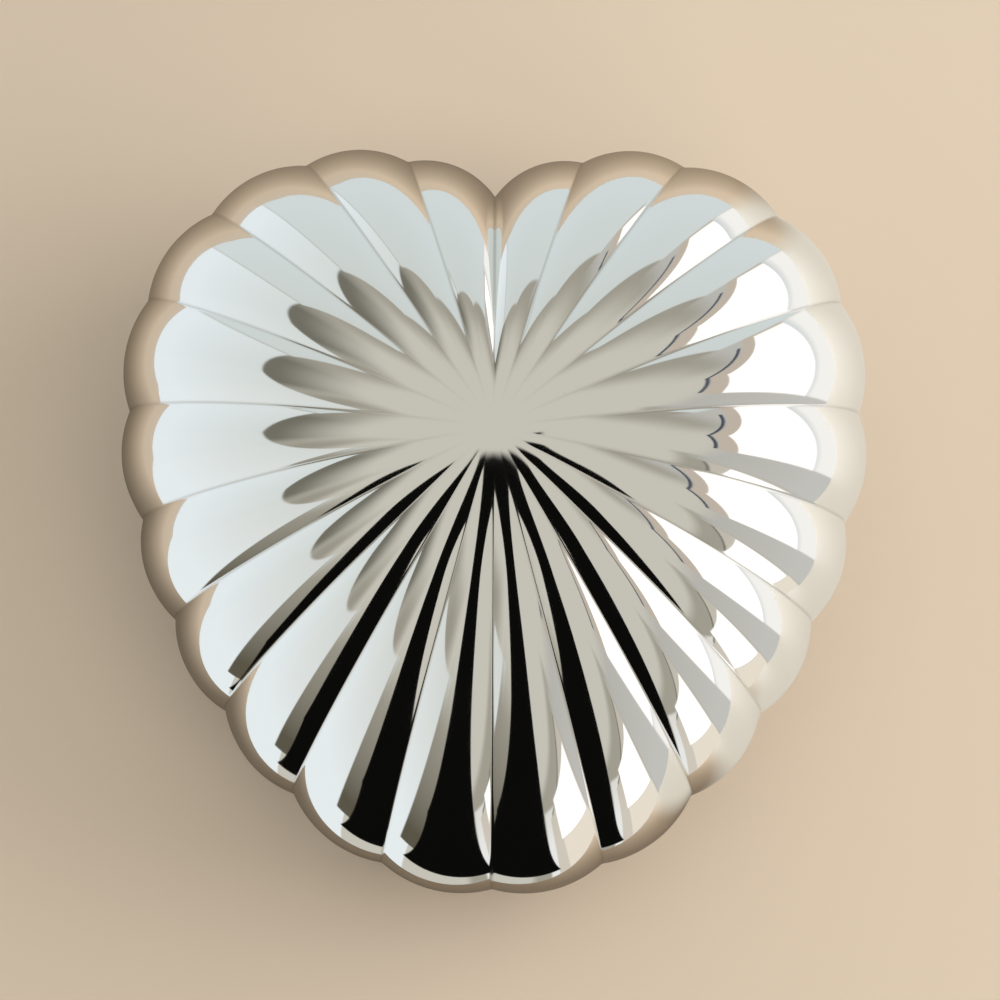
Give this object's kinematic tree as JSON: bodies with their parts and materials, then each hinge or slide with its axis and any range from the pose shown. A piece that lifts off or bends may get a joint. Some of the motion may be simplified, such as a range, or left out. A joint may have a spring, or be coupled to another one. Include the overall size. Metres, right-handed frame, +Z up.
{
  "type": "heart-shaped bonbonniere",
  "caption": "Fluted, polished metal heart box with a domed lift-off lid, lined with velvet, for sweets or keepsakes.",
  "frame": {"origin": "centre of the box's outline, on the surface that it stands on", "axes": "+Z up, the way the lid lifts; +Y towards the cleft of the heart; -Y towards its tip"},
  "size_m": [0.0884, 0.0886, 0.044],
  "materials": {
    "silver_plate": "polished",
    "velvet": "matte",
    "lining_card": "matte",
    "felt": "matte"
  },
  "bodies": {
    "base": {"base_shell": "silver_plate", "locating_collar": "silver_plate", "wall_lining": "velvet", "floor_card": "lining_card", "floor_pad": "velvet", "underside_felt": "felt"},
    "lid": {"lid_shell": "silver_plate", "lid_card": "lining_card", "lid_pad": "velvet"}
  },
  "joints": [
    {"name": "lid_lift", "type": "slide", "parent": "base", "child": "lid", "axis": [0, 0, 1], "range_m": [0, 0.06]}
  ]
}
